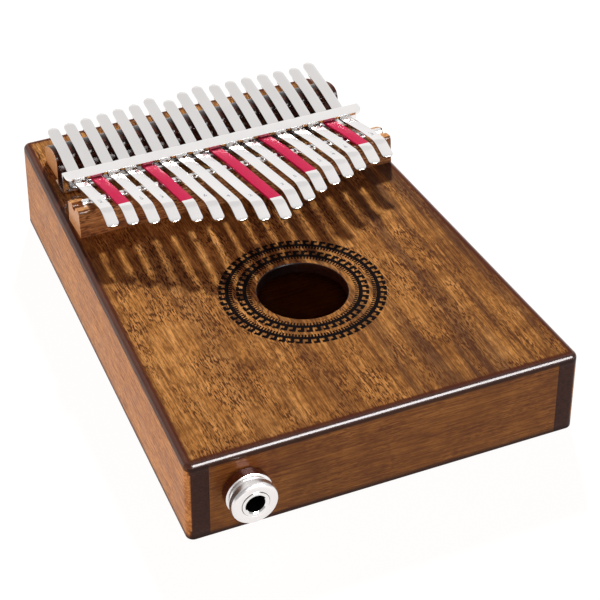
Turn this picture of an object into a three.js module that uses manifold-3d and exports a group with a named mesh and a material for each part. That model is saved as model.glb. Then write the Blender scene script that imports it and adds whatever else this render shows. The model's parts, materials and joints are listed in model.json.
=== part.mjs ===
// A seventeen-tine box mbira with a built-in pickup, in millimetres.
// +X is the player's right, +Y runs away from the player, +Z is up.
// The origin is the middle of the underside of the box.

import * as THREE from 'three';
import { mergeVertices } from 'three/addons/utils/BufferGeometryUtils.js';
import Module from 'manifold-3d';

const wasm = await Module();
wasm.setup();

// The box: wider towards the player, thicker away from the player.
const BODY_LENGTH = 189.3;
const FRONT_WIDTH = 138.4;
const REAR_WIDTH = 116.5;
const FRONT_HEIGHT = 31.2;
const REAR_HEIGHT = 34.7;
const CORNER_RADIUS = 2.6;
const TOP_EDGE_RADIUS = 1.5;
const BOTTOM_EDGE_RADIUS = 1;
const TOP_THICKNESS = 4;
const BACK_THICKNESS = 4;
const SIDE_THICKNESS = 7.6;
const END_THICKNESS = 8;
const BRACE_WIDTH = 9;
const BRACE_HEIGHT = 8;
const BRACE_YS = { brace_rear: 61.5, brace_middle: 35.5, brace_front: -56 };
const GLUE_GAP = 0.1;
const SEAT_GAP = 0.2;

// The soundboard's hole and the two inlaid rings round it.
const HOLE_RADIUS = 15.4;
const HOLE_Y = -27.8;
const ROSETTE_RADIUS = 28.5;
const INNER_BAND = [0.62 * ROSETTE_RADIUS, 0.79 * ROSETTE_RADIUS];
const OUTER_BAND = [0.83 * ROSETTE_RADIUS, ROSETTE_RADIUS];
const INLAY_DEPTH = 0.8;
const INLAY_GAP = 0.12;

// The tine seat. Heights here are above the soundboard.
const SEAT_X = 1.2;
const METAL_X = 2;
const TAIL_SHIFT = -0.5;
const TINE_COUNT = 17;
const MIDDLE_TINE = 9;
const TINE_WIDTH = 4.3;
const TINE_THICKNESS = 1;
const REAR_PITCH = 6.44;
const FRONT_PITCH = 6.5;
const CONTACT_GAP = 0.15;
const SADDLE_EASE = 0.25;

const SADDLE_LENGTH = 110.8;
const SADDLE_FRONT = 66.3;
const SADDLE_DEPTH = 13.5;
const SADDLE_CREST_Y = 70.5;
const SADDLE_CREST = 10;
const SADDLE_REAR_HEIGHT = 6.2;

const BRIDGE_LENGTH = 119.6;
const BRIDGE_FRONT = 29.3;
const BRIDGE_DEPTH = 12.4;
const BRIDGE_CREST = 10.4;
const BRIDGE_REAR_HEIGHT = 8;
const ROD_LENGTH = 115;
const ROD_RADIUS = 1.5;
const ROD_Y = 36;
const ROD_HEIGHT = 9.6;

const BRACKET_LENGTH = 115;
const BRACKET_FRONT = 50.7;
const BRACKET_WEB = 57.1;
const BRACKET_REAR = 65.1;
const BRACKET_TOP = 9.9;
const SHEET = 1;
const BRACKET_CORNER = 3;
const SLOT_WIDTH = 5.1;
const SLOT_BOTTOM = 2.4;

// The tines play a major scale, its notes placed in turn to the left and the
// right of the longest. The pitch goes with the inverse square of the length
// that bends, which is the tongue and a few millimetres behind the rod.
const SCALE_STEPS = [0, 2, 4, 5, 7, 9, 11];
const OCTAVE = 12;
const LONGEST_TONGUE = 46;
const BEND_BEHIND_ROD = 4;

// The tails end on a shallow arc, and a few were left out of line by tuning.
const TAIL_END = 84.3;
const TAIL_ARC = 0.035;
const TAIL_ARC_TINE = 11;
const UNEVEN_TAILS = { 7: 1.2, 8: -2.4, 10: 1.2, 17: 1.4 };

const PAINTED_TINES = [2, 5, 9, 12, 16];
const TINE_DIP = 7;
const REAR_SLOPE = 0.15;
const TONGUE_SLOPE = 0.22;
const TIP_LENGTH = 9.3;
const TIP_DROOP = 0.36;
const TIP_BEND_RADIUS = 7;
const TIP_CORNER = 1.5;
const TAIL_BLUNT = 0.35;

// The output jack, along its axis from the outside of the front panel.
const JACK_X = -49.8;
const JACK_Z = 16.7;
const JACK_REACH = 9.35;
const JACK_BORE = 3.25;
const BARREL_RADIUS = 4.6;
const BARREL_INSIDE = 26;
const BUTTON_RADIUS = 7.9;
const BUTTON_WAIST = 6.6;
const FLANGE_DEPTH = 3.8;
const JACK_CLEARANCE = 0.15;
const PANEL_CLEARANCE = 0.3;
const WASHER_RADIUS = 8;
const WASHER_THICKNESS = 1;
const NUT_RADIUS = 7.5;
const NUT_THICKNESS = 3;
const INSULATOR_LENGTH = 3;
const LUG_START = BARREL_INSIDE + 3.4;
const LUG_LENGTH = 6;
const LUG_WIDTH = 2.4;
const LUG_THICKNESS = 0.6;
const LUG_OFFSET = 2;

const SCREW_XS = [-44.3, 1.2, 46.7];
const SCREW_Y = 61.5;
const SCREW_RADIUS = 1.25;
const SCREW_HEAD_RADIUS = 2.5;
const SCREW_LENGTH = 9;
const SCREW_HOLE_BOTTOM = -8.2;
const SCREW_CLEARANCE = 0.15;

const PIEZO_X = -20;
const PIEZO_Y = 18.5;
const PIEZO_RADIUS = 10;
const PIEZO_THICKNESS = 0.5;
const LEAD_RADIUS = 0.9;

const SLOPE = Math.atan((REAR_HEIGHT - FRONT_HEIGHT) / BODY_LENGTH);
const MIDDLE_HEIGHT = (FRONT_HEIGHT + REAR_HEIGHT) / 2;
const HALF_LENGTH = BODY_LENGTH / 2;
const TAPER = Math.atan((FRONT_WIDTH - REAR_WIDTH) / 2 / BODY_LENGTH);

// How far past the object a slicing block runs, and past a piece a cutter runs.
const FAR = 400;
const PAST = 20;
const PAST_END = HALF_LENGTH + 1;

const LACQUERED_TOP = new THREE.MeshStandardMaterial({ color: '#8a5423', roughness: 0.25, metalness: 0 });
const RED_WOOD = new THREE.MeshStandardMaterial({ color: '#6e3418', roughness: 0.3, metalness: 0 });
const FIGURED_WOOD = new THREE.MeshStandardMaterial({ color: '#a5682e', roughness: 0.45, metalness: 0 });
const DARK_WOOD = new THREE.MeshStandardMaterial({ color: '#4a1f12', roughness: 0.4, metalness: 0 });
const PLAIN_WOOD = new THREE.MeshStandardMaterial({ color: '#c79a62', roughness: 0.7, metalness: 0 });
const INLAY_WOOD = new THREE.MeshStandardMaterial({ color: '#1c1210', roughness: 0.35, metalness: 0 });
const STEEL = new THREE.MeshStandardMaterial({ color: '#c9c9cb', roughness: 0.25, metalness: 1 });
const NICKEL = new THREE.MeshStandardMaterial({ color: '#dad6d4', roughness: 0.12, metalness: 1 });
const RED_PAINT = new THREE.MeshStandardMaterial({ color: '#d81e50', roughness: 0.4, metalness: 0.2 });
const BRASS = new THREE.MeshStandardMaterial({ color: '#c9a24d', roughness: 0.35, metalness: 1 });
const NYLON = new THREE.MeshStandardMaterial({ color: '#22201f', roughness: 0.6, metalness: 0 });
const LEAD_JACKET = new THREE.MeshStandardMaterial({ color: '#2b2b2d', roughness: 0.6, metalness: 0 });

// ---- solids -------------------------------------------------------------

function toSolid(geometry) {
  const bare = geometry.index ? geometry.toNonIndexed() : geometry.clone();
  bare.deleteAttribute('normal');
  bare.deleteAttribute('uv');
  const welded = mergeVertices(bare, 1e-4);
  const mesh = new wasm.Mesh({
    numProp: 3,
    vertProperties: new Float32Array(welded.attributes.position.array),
    triVerts: new Uint32Array(welded.index.array),
  });
  return new wasm.Manifold(mesh);
}

function toGeometry(solid) {
  const mesh = solid.getMesh();
  const geometry = new THREE.BufferGeometry();
  geometry.setAttribute('position', new THREE.BufferAttribute(new Float32Array(mesh.vertProperties), 3));
  geometry.setIndex(new THREE.BufferAttribute(new Uint32Array(mesh.triVerts), 1));
  geometry.computeVertexNormals();
  return geometry;
}

function without(geometry, cutters) {
  let solid = toSolid(geometry);
  for (const cutter of cutters) {
    solid = solid.subtract(toSolid(cutter));
  }
  return toGeometry(solid);
}

function common(geometries) {
  let solid = toSolid(geometries[0]);
  for (const other of geometries.slice(1)) {
    solid = solid.intersect(toSolid(other));
  }
  return toGeometry(solid);
}

function box(xRange, yRange, zRange) {
  const size = [xRange, yRange, zRange].map(([low, high]) => high - low);
  const middle = [xRange, yRange, zRange].map(([low, high]) => (low + high) / 2);
  return new THREE.BoxGeometry(...size).translate(...middle);
}

// An upright prism over a plan outline given as [x, y] points.
function prism(points, low, high) {
  const shape = new THREE.Shape(points.map(([x, y]) => new THREE.Vector2(x, y)));
  return new THREE.ExtrudeGeometry(shape, { depth: high - low, bevelEnabled: false }).translate(0, 0, low);
}

// A bar along X whose section is an outline of (y, z) points, centred on x.
function bar(section, length, x) {
  const extrusion = new THREE.ExtrudeGeometry(section, { depth: length, bevelEnabled: false });
  const turn = new THREE.Matrix4().set(0, 0, 1, x - length / 2, 1, 0, 0, 0, 0, 1, 0, 0, 0, 0, 0, 1);
  return extrusion.applyMatrix4(turn);
}

// A disc or tube about Y, from a closed profile of [radius, distance] points.
function turned(profile, segments = 32) {
  const points = profile.map(([radius, distance]) => new THREE.Vector2(radius, distance));
  return new THREE.LatheGeometry(points, segments);
}

// The same about Z, standing at x, y.
function turnedUpright(profile, x, y, segments = 32) {
  return turned(profile, segments).rotateX(Math.PI / 2).translate(x, y, 0);
}

// Closed rings of equal length, skinned one to the next and capped.
function skin(rings) {
  const count = rings[0].length;
  const indices = [];
  for (let ring = 0; ring + 1 < rings.length; ring += 1) {
    for (let i = 0; i < count; i += 1) {
      const a = ring * count + i;
      const b = ring * count + ((i + 1) % count);
      indices.push(a, b, b + count, a, b + count, a + count);
    }
  }
  const last = (rings.length - 1) * count;
  for (let i = 1; i + 1 < count; i += 1) {
    indices.push(0, i + 1, i);
    indices.push(last, last + i, last + i + 1);
  }
  const geometry = new THREE.BufferGeometry();
  const flat = rings.flat().flatMap((point) => [point.x, point.y, point.z]);
  geometry.setAttribute('position', new THREE.Float32BufferAttribute(flat, 3));
  geometry.setIndex(indices);
  return geometry;
}

// ---- the box ------------------------------------------------------------

function topHeight(y) {
  return MIDDLE_HEIGHT + Math.tan(SLOPE) * y;
}

function halfWidth(y, inset = 0) {
  const middle = (FRONT_WIDTH + REAR_WIDTH) / 4;
  return middle - Math.tan(TAPER) * y - inset / Math.cos(TAPER);
}

// The plan outline with rounded corners, anticlockwise, moved in by inset.
function planOutline(inset) {
  const radius = CORNER_RADIUS - inset;
  const steps = 5;
  const frontY = -HALF_LENGTH + CORNER_RADIUS;
  const rearY = HALF_LENGTH - CORNER_RADIUS;
  const corners = [
    [halfWidth(frontY, CORNER_RADIUS), frontY, -Math.PI / 2, TAPER],
    [halfWidth(rearY, CORNER_RADIUS), rearY, TAPER, Math.PI / 2],
    [-halfWidth(rearY, CORNER_RADIUS), rearY, Math.PI / 2, Math.PI - TAPER],
    [-halfWidth(frontY, CORNER_RADIUS), frontY, Math.PI - TAPER, 1.5 * Math.PI],
  ];
  const points = [];
  for (const [x, y, from, to] of corners) {
    for (let i = 0; i <= steps; i += 1) {
      const angle = from + ((to - from) * i) / steps;
      points.push([x + radius * Math.cos(angle), y + radius * Math.sin(angle)]);
    }
  }
  return points;
}

function roundedEdge(radius, heightAt) {
  const steps = 4;
  const rings = [];
  for (let i = 0; i <= steps; i += 1) {
    const angle = (i * Math.PI) / 2 / steps;
    const outline = planOutline(radius * (1 - Math.sin(angle)));
    const rise = radius * (1 - Math.cos(angle));
    rings.push(outline.map(([x, y]) => new THREE.Vector3(x, y, heightAt(y, rise))));
  }
  return rings;
}

function bodyBlank() {
  const lower = roundedEdge(BOTTOM_EDGE_RADIUS, (y, rise) => rise);
  const upper = roundedEdge(TOP_EDGE_RADIUS, (y, rise) => topHeight(y) - rise);
  return skin([...lower, ...upper.reverse()]);
}

// Moves a shape drawn above the soundboard's face onto the sloping face.
function ontoDeck(geometry) {
  return geometry.rotateX(SLOPE).translate(0, 0, MIDDLE_HEIGHT);
}

// All the space whose height above the soundboard's face is from low to high.
function deckSlab(low, high) {
  return ontoDeck(box([-FAR, FAR], [-FAR, FAR], [low, high]));
}

function rosetteRing([inner, outer], low, high, gap) {
  const profile = [
    [inner - gap, low],
    [outer + gap, low],
    [outer + gap, high],
    [inner - gap, high],
    [inner - gap, low],
  ];
  return turnedUpright(profile, 0, HOLE_Y, 64);
}

function soundHole() {
  const profile = [[0, -PAST], [HOLE_RADIUS, -PAST], [HOLE_RADIUS, PAST], [0, PAST]];
  return turnedUpright(profile, 0, HOLE_Y, 64);
}

function soundboard() {
  const blank = common([bodyBlank(), deckSlab(-TOP_THICKNESS, TOP_THICKNESS)]);
  const grooves = [INNER_BAND, OUTER_BAND].map((band) => (
    rosetteRing(band, -INLAY_DEPTH - INLAY_GAP, TOP_THICKNESS, INLAY_GAP)
  ));
  const cutters = [soundHole(), ...grooves, ...SCREW_XS.map(screwHole)];
  return without(blank, cutters.map(ontoDeck));
}

function screwHole(x) {
  const radius = SCREW_RADIUS + SCREW_CLEARANCE;
  const profile = [[0, SCREW_HOLE_BOTTOM], [radius, SCREW_HOLE_BOTTOM], [radius, PAST], [0, PAST]];
  return turnedUpright(profile, x, SCREW_Y, 16);
}

function backPlate() {
  return common([bodyBlank(), box([-FAR, FAR], [-FAR, FAR], [0, BACK_THICKNESS])]);
}

function rim() {
  return common([
    bodyBlank(),
    deckSlab(-FAR, -TOP_THICKNESS - GLUE_GAP),
    box([-FAR, FAR], [-FAR, FAR], [BACK_THICKNESS + GLUE_GAP, FAR]),
  ]);
}

function sideBoard(side) {
  const inner = (y) => side * halfWidth(y, SIDE_THICKNESS);
  const points = [
    [inner(-PAST_END), -PAST_END],
    [side * FAR, -PAST_END],
    [side * FAR, PAST_END],
    [inner(PAST_END), PAST_END],
  ];
  return common([rim(), prism(points, 0, FAR)]);
}

function betweenSides() {
  const inner = (y) => halfWidth(y, SIDE_THICKNESS + GLUE_GAP);
  return prism([
    [-inner(-PAST_END), -PAST_END],
    [inner(-PAST_END), -PAST_END],
    [inner(PAST_END), PAST_END],
    [-inner(PAST_END), PAST_END],
  ], 0, FAR);
}

function frontPanel() {
  const slice = box([-FAR, FAR], [-FAR, -HALF_LENGTH + END_THICKNESS], [0, FAR]);
  const bore = jackDrill(BARREL_RADIUS + PANEL_CLEARANCE, -1, END_THICKNESS + 1);
  return without(common([rim(), betweenSides(), slice]), [bore]);
}

function rearPanel() {
  const slice = box([-FAR, FAR], [HALF_LENGTH - END_THICKNESS, FAR], [0, FAR]);
  return common([rim(), betweenSides(), slice]);
}

// A bar glued across the underside of the soundboard.
function brace(y) {
  const reach = halfWidth(y + BRACE_WIDTH, SIDE_THICKNESS) - 1;
  const front = y - BRACE_WIDTH / 2;
  const rear = y + BRACE_WIDTH / 2;
  const under = -TOP_THICKNESS - SEAT_GAP;
  const section = new THREE.Shape([
    new THREE.Vector2(front, under),
    new THREE.Vector2(front, under - BRACE_HEIGHT / 2),
    new THREE.Vector2(y - BRACE_WIDTH / 4, under - BRACE_HEIGHT),
    new THREE.Vector2(y + BRACE_WIDTH / 4, under - BRACE_HEIGHT),
    new THREE.Vector2(rear, under - BRACE_HEIGHT / 2),
    new THREE.Vector2(rear, under),
  ]);
  return bar(section, 2 * reach, 0);
}

// ---- the tine seat, drawn above the soundboard's face -------------------

function saddle() {
  const rear = SADDLE_FRONT + SADDLE_DEPTH;
  const section = new THREE.Shape();
  section.moveTo(SADDLE_FRONT, SEAT_GAP);
  section.lineTo(rear, SEAT_GAP);
  section.lineTo(rear, SADDLE_REAR_HEIGHT);
  section.quadraticCurveTo(SADDLE_CREST_Y + 5, SADDLE_CREST - 0.3, SADDLE_CREST_Y, SADDLE_CREST);
  section.quadraticCurveTo(SADDLE_FRONT, SADDLE_CREST, SADDLE_FRONT, SADDLE_REAR_HEIGHT - 0.6);
  return bar(section, SADDLE_LENGTH, SEAT_X);
}

function bridge() {
  const rear = BRIDGE_FRONT + BRIDGE_DEPTH;
  const groove = ROD_RADIUS + 0.2;
  const section = new THREE.Shape();
  section.moveTo(BRIDGE_FRONT, SEAT_GAP);
  section.lineTo(rear, SEAT_GAP);
  section.lineTo(rear, BRIDGE_REAR_HEIGHT);
  section.lineTo(ROD_Y + groove, ROD_HEIGHT + 0.2);
  section.absarc(ROD_Y, ROD_HEIGHT, groove, 0, -Math.PI, true);
  section.lineTo(ROD_Y - groove, ROD_HEIGHT + 0.2);
  section.lineTo(BRIDGE_FRONT + 2.4, BRIDGE_CREST);
  section.quadraticCurveTo(BRIDGE_FRONT + 1.3, BRIDGE_CREST, BRIDGE_FRONT + 1, BRIDGE_CREST - 1.4);
  return bar(section, BRIDGE_LENGTH, SEAT_X);
}

function rod() {
  const bevel = 0.4;
  const half = ROD_LENGTH / 2;
  const geometry = turned([
    [0, -half],
    [ROD_RADIUS - bevel, -half],
    [ROD_RADIUS, -half + bevel],
    [ROD_RADIUS, half - bevel],
    [ROD_RADIUS - bevel, half],
    [0, half],
  ], 20);
  return geometry.rotateZ(-Math.PI / 2).translate(METAL_X, ROD_Y, ROD_HEIGHT);
}

// The bracket is one bent sheet. Its three flat legs are separate bodies, a glue line's
// width apart: a flange over the tines, a web that they pass through and a foot.
function bracketFlange() {
  const blank = bracketLeg([BRACKET_FRONT, BRACKET_WEB], [BRACKET_TOP - SHEET, BRACKET_TOP]);
  return common([blank, bracketPlan()]);
}

function bracketWeb() {
  const top = BRACKET_TOP - SHEET - GLUE_GAP;
  const blank = bracketLeg([BRACKET_WEB - SHEET, BRACKET_WEB], [SEAT_GAP, top]);
  const slots = [];
  for (let number = 1; number <= TINE_COUNT; number += 1) {
    const x = tineX(number, BRACKET_WEB);
    slots.push(box(
      [x - SLOT_WIDTH / 2, x + SLOT_WIDTH / 2],
      [BRACKET_WEB - 2 * SHEET, BRACKET_WEB + SHEET],
      [SLOT_BOTTOM, BRACKET_TOP],
    ));
  }
  return without(blank, slots);
}

function bracketFoot() {
  const blank = bracketLeg([BRACKET_WEB + GLUE_GAP, BRACKET_REAR], [SEAT_GAP, SEAT_GAP + SHEET]);
  return without(common([blank, bracketPlan()]), SCREW_XS.map(screwHole));
}

function bracketLeg(ySpan, zSpan) {
  const half = BRACKET_LENGTH / 2;
  return box([METAL_X - half, METAL_X + half], ySpan, zSpan);
}

// The bracket's plan with rounded corners, as a tall block that trims the blank.
function bracketPlan() {
  const left = METAL_X - BRACKET_LENGTH / 2;
  const right = METAL_X + BRACKET_LENGTH / 2;
  const front = BRACKET_FRONT;
  const rear = BRACKET_REAR;
  const radius = BRACKET_CORNER;
  const shape = new THREE.Shape();
  shape.absarc(right - radius, front + radius, radius, -Math.PI / 2, 0);
  shape.absarc(right - radius, rear - radius, radius, 0, Math.PI / 2);
  shape.absarc(left + radius, rear - radius, radius, Math.PI / 2, Math.PI);
  shape.absarc(left + radius, front + radius, radius, Math.PI, 1.5 * Math.PI);
  const options = { depth: 2 * PAST, bevelEnabled: false, curveSegments: 6 };
  return new THREE.ExtrudeGeometry(shape, options).translate(0, 0, -PAST);
}

function screw(x) {
  const seat = SEAT_GAP + SHEET + GLUE_GAP;
  return turnedUpright([
    [0, seat - SCREW_LENGTH],
    [SCREW_RADIUS * 0.4, seat - SCREW_LENGTH + 0.6],
    [SCREW_RADIUS, seat - SCREW_LENGTH + 2.4],
    [SCREW_RADIUS, seat],
    [SCREW_HEAD_RADIUS, seat],
    [SCREW_HEAD_RADIUS * 0.9, seat + 1.1],
    [SCREW_HEAD_RADIUS * 0.5, seat + 1.6],
    [0, seat + 1.75],
  ], x, SCREW_Y, 16);
}

// ---- tines --------------------------------------------------------------

// The tines spread a little towards the player, and their tails lie a little to the left.
function tineX(number, y) {
  const blend = (y - ROD_Y) / (SADDLE_FRONT - ROD_Y);
  const pitch = FRONT_PITCH + (REAR_PITCH - FRONT_PITCH) * blend;
  return SEAT_X + TAIL_SHIFT * blend + (number - MIDDLE_TINE) * pitch;
}

// How many semitones a tine sounds above the longest one.
function semitones(number) {
  const side = number - MIDDLE_TINE;
  const degree = side < 0 ? -2 * side - 1 : 2 * side;
  const octaves = Math.floor(degree / SCALE_STEPS.length);
  return OCTAVE * octaves + SCALE_STEPS[degree % SCALE_STEPS.length];
}

function tipY(number) {
  const ratio = 2 ** (-semitones(number) / (2 * OCTAVE));
  const tongue = (LONGEST_TONGUE + BEND_BEHIND_ROD) * ratio - BEND_BEHIND_ROD;
  return ROD_Y - tongue;
}

function tailEnd(number) {
  const arc = TAIL_ARC * (number - TAIL_ARC_TINE) ** 2;
  return TAIL_END - arc + (UNEVEN_TAILS[number] ?? 0);
}

// The underside of a tine from tail to tip, as (y, height) points.
function tineLine(number) {
  const contact = SADDLE_CREST + SADDLE_EASE;
  const onRod = ROD_HEIGHT + ROD_RADIUS + CONTACT_GAP;
  const bendY = tipY(number) + TIP_LENGTH;
  const bendHeight = onRod + TONGUE_SLOPE * (ROD_Y - bendY);
  const tail = tailEnd(number);
  const shank = new THREE.SplineCurve([
    new THREE.Vector2(tail, contact + REAR_SLOPE * (tail - SADDLE_CREST_Y)),
    new THREE.Vector2(SADDLE_CREST_Y, contact),
    new THREE.Vector2(BRACKET_WEB + 4, TINE_DIP + 1.15),
    new THREE.Vector2(BRACKET_WEB - 1.5, TINE_DIP),
    new THREE.Vector2(BRACKET_FRONT + 0.5, TINE_DIP + 0.25),
    new THREE.Vector2((BRACKET_FRONT + ROD_Y) / 2, (TINE_DIP + onRod) / 2 + 0.15),
    new THREE.Vector2(ROD_Y, onRod),
    new THREE.Vector2((ROD_Y + bendY) / 2, (onRod + bendHeight) / 2),
    new THREE.Vector2(bendY, bendHeight),
  ]);
  const points = shank.getPoints(20);
  const from = Math.atan(TONGUE_SLOPE);
  const bendSteps = 4;
  const arcLength = (from + TIP_DROOP) * TIP_BEND_RADIUS;
  let point = points[points.length - 1];
  for (let i = 1; i <= bendSteps; i += 1) {
    const angle = from - ((from + TIP_DROOP) * (i - 0.5)) / bendSteps;
    const step = arcLength / bendSteps;
    point = new THREE.Vector2(point.x - step * Math.cos(angle), point.y + step * Math.sin(angle));
    points.push(point);
  }
  const rest = (point.x - tipY(number)) / Math.cos(TIP_DROOP);
  for (const back of [1, 0.55, 0.2, 0]) {
    const reach = rest - back * TIP_CORNER;
    points.push(new THREE.Vector2(
      point.x - reach * Math.cos(TIP_DROOP),
      point.y - reach * Math.sin(TIP_DROOP),
    ));
  }
  return withRoundTail(points);
}

function withRoundTail(points) {
  const [end, next] = points;
  const along = next.clone().sub(end).normalize();
  const added = [0, 0.08, 0.3, 0.65, 1].map((part) => (
    end.clone().addScaledVector(along, (part * TINE_WIDTH) / 2)
  ));
  return [...added, ...points.slice(1).filter((point) => point.x < added[4].x)];
}

function halfWidthAlong(distance, toTip) {
  const half = TINE_WIDTH / 2;
  if (distance < half) {
    return Math.max(TAIL_BLUNT, Math.sqrt(half ** 2 - (half - distance) ** 2));
  }
  if (toTip < TIP_CORNER) {
    return half - TIP_CORNER + Math.sqrt(Math.max(0, TIP_CORNER ** 2 - (TIP_CORNER - toTip) ** 2));
  }
  return half;
}

function tine(number) {
  const line = tineLine(number);
  const lengths = [0];
  for (let i = 1; i < line.length; i += 1) {
    lengths.push(lengths[i - 1] + line[i].distanceTo(line[i - 1]));
  }
  const total = lengths[lengths.length - 1];
  const rings = line.map((point, i) => {
    const ahead = line[Math.min(i + 1, line.length - 1)];
    const behind = line[Math.max(i - 1, 0)];
    const along = ahead.clone().sub(behind).normalize();
    const up = new THREE.Vector2(along.y, -along.x).multiplyScalar(TINE_THICKNESS);
    const half = halfWidthAlong(lengths[i], total - lengths[i]);
    const x = tineX(number, point.x);
    return [
      new THREE.Vector3(x - half, point.x, point.y),
      new THREE.Vector3(x + half, point.x, point.y),
      new THREE.Vector3(x + half, point.x + up.x, point.y + up.y),
      new THREE.Vector3(x - half, point.x + up.x, point.y + up.y),
    ];
  });
  return skin(rings);
}

// ---- pickup and jack ----------------------------------------------------

// A jack piece, turned from [radius, distance into the box from its front face].
function jackTurned(profile, segments = 32) {
  return turned(profile, segments).translate(JACK_X, -HALF_LENGTH, JACK_Z);
}

function jackDrill(radius, from, to) {
  return jackTurned([[0, from], [radius, from], [radius, to], [0, to]]);
}

function strapButton() {
  const inner = BARREL_RADIUS + JACK_CLEARANCE;
  const lip = 0.4;
  return jackTurned([
    [inner, -JACK_REACH + 0.3],
    [BUTTON_RADIUS - 1.1, -JACK_REACH + 0.1],
    [BUTTON_RADIUS - 0.3, -JACK_REACH + 0.9],
    [BUTTON_RADIUS, -JACK_REACH + 2],
    [BUTTON_RADIUS, -JACK_REACH + 3.2],
    [BUTTON_WAIST, -JACK_REACH + 3.8],
    [BUTTON_WAIST, -FLANGE_DEPTH - 2 * lip],
    [BUTTON_RADIUS - lip, -FLANGE_DEPTH - lip],
    [BUTTON_RADIUS, -FLANGE_DEPTH],
    [BUTTON_RADIUS, -SEAT_GAP - lip],
    [BUTTON_RADIUS - lip, -SEAT_GAP],
    [inner, -SEAT_GAP],
    [inner, -JACK_REACH + 0.3],
  ], 40);
}

function barrel() {
  return jackTurned([
    [JACK_BORE + 0.4, -JACK_REACH],
    [BARREL_RADIUS, -JACK_REACH],
    [BARREL_RADIUS, BARREL_INSIDE],
    [JACK_BORE, BARREL_INSIDE],
    [JACK_BORE, -JACK_REACH + 0.4],
    [JACK_BORE + 0.4, -JACK_REACH],
  ]);
}

function washer() {
  const inner = BARREL_RADIUS + JACK_CLEARANCE;
  const near = END_THICKNESS + SEAT_GAP;
  const far = near + WASHER_THICKNESS;
  return jackTurned([
    [inner, near],
    [WASHER_RADIUS, near],
    [WASHER_RADIUS, far],
    [inner, far],
    [inner, near],
  ]);
}

function nut() {
  const near = END_THICKNESS + WASHER_THICKNESS + 2 * SEAT_GAP;
  const far = near + NUT_THICKNESS;
  const hexagon = jackTurned([[0, near], [NUT_RADIUS, near], [NUT_RADIUS, far], [0, far]], 6);
  return without(hexagon, [jackDrill(BARREL_RADIUS + JACK_CLEARANCE, near - 1, far + 1)]);
}

function insulator() {
  const start = BARREL_INSIDE + SEAT_GAP;
  const end = start + INSULATOR_LENGTH;
  const radius = BARREL_RADIUS - 0.3;
  return jackTurned([[0, start], [radius, start], [radius, end], [0, end]], 24);
}

function solderLug(offset) {
  const start = -HALF_LENGTH + LUG_START;
  const x = JACK_X + offset;
  return box(
    [x - LUG_WIDTH / 2, x + LUG_WIDTH / 2],
    [start, start + LUG_LENGTH],
    [JACK_Z - LUG_THICKNESS / 2, JACK_Z + LUG_THICKNESS / 2],
  );
}

function piezoDisc() {
  const high = -TOP_THICKNESS - SEAT_GAP;
  const low = high - PIEZO_THICKNESS;
  const profile = [[0, low], [PIEZO_RADIUS, low], [PIEZO_RADIUS, high], [0, high]];
  return turnedUpright(profile, PIEZO_X, PIEZO_Y);
}

function pickupLead() {
  const lugEnd = -HALF_LENGTH + LUG_START + LUG_LENGTH;
  const underPiezo = topHeight(PIEZO_Y) - TOP_THICKNESS - PIEZO_THICKNESS - LEAD_RADIUS - 0.8;
  const path = new THREE.CatmullRomCurve3([
    new THREE.Vector3(PIEZO_X, PIEZO_Y, underPiezo),
    new THREE.Vector3(-30, 12, underPiezo - 1),
    new THREE.Vector3(-42, -4, 18),
    new THREE.Vector3(-46, -22, 8),
    new THREE.Vector3(-48, -36, 6.5),
    new THREE.Vector3(JACK_X, -46, 11),
    new THREE.Vector3(JACK_X, lugEnd + 0.4, JACK_Z),
  ]);
  const section = new THREE.Shape();
  section.absarc(0, 0, LEAD_RADIUS, 0, 2 * Math.PI);
  const options = { steps: 28, curveSegments: 4, extrudePath: path, bevelEnabled: false };
  return new THREE.ExtrudeGeometry(section, options);
}

// ---- assembly -----------------------------------------------------------

const mbira = new THREE.Group();
const deck = new THREE.Group();
deck.rotation.x = SLOPE;
deck.position.z = MIDDLE_HEIGHT;
mbira.add(deck);

function add(parent, name, geometry, material) {
  const mesh = new THREE.Mesh(geometry, material);
  mesh.name = name;
  parent.add(mesh);
}

add(mbira, 'soundboard', soundboard(), LACQUERED_TOP);
add(mbira, 'back_plate', backPlate(), RED_WOOD);
add(mbira, 'side_left', sideBoard(-1), RED_WOOD);
add(mbira, 'side_right', sideBoard(1), RED_WOOD);
add(mbira, 'end_front', frontPanel(), RED_WOOD);
add(mbira, 'end_rear', rearPanel(), RED_WOOD);
for (const [name, y] of Object.entries(BRACE_YS)) {
  const holes = name === 'brace_rear' ? SCREW_XS.map(screwHole) : [];
  add(deck, name, without(brace(y), holes), PLAIN_WOOD);
}
add(deck, 'rosette_inner', rosetteRing(INNER_BAND, -INLAY_DEPTH, 0, 0), INLAY_WOOD);
add(deck, 'rosette_outer', rosetteRing(OUTER_BAND, -INLAY_DEPTH, 0, 0), INLAY_WOOD);
add(deck, 'rear_saddle', saddle(), DARK_WOOD);
add(deck, 'front_bridge', bridge(), FIGURED_WOOD);
add(deck, 'bridge_rod', rod(), NICKEL);
add(deck, 'bracket_flange', bracketFlange(), NICKEL);
add(deck, 'bracket_web', bracketWeb(), NICKEL);
add(deck, 'bracket_foot', bracketFoot(), NICKEL);
SCREW_XS.forEach((x, index) => add(deck, `bracket_screw_${index + 1}`, screw(x), STEEL));
for (let number = 1; number <= TINE_COUNT; number += 1) {
  const material = PAINTED_TINES.includes(number) ? RED_PAINT : STEEL;
  add(deck, `tine_${String(number).padStart(2, '0')}`, tine(number), material);
}
add(mbira, 'jack_strap_button', strapButton(), NICKEL);
add(mbira, 'jack_barrel', barrel(), NICKEL);
add(mbira, 'jack_washer', washer(), NICKEL);
add(mbira, 'jack_nut', nut(), NICKEL);
add(mbira, 'jack_insulator', insulator(), NYLON);
add(mbira, 'jack_lug_tip', solderLug(-LUG_OFFSET), BRASS);
add(mbira, 'jack_lug_sleeve', solderLug(LUG_OFFSET), BRASS);
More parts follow.
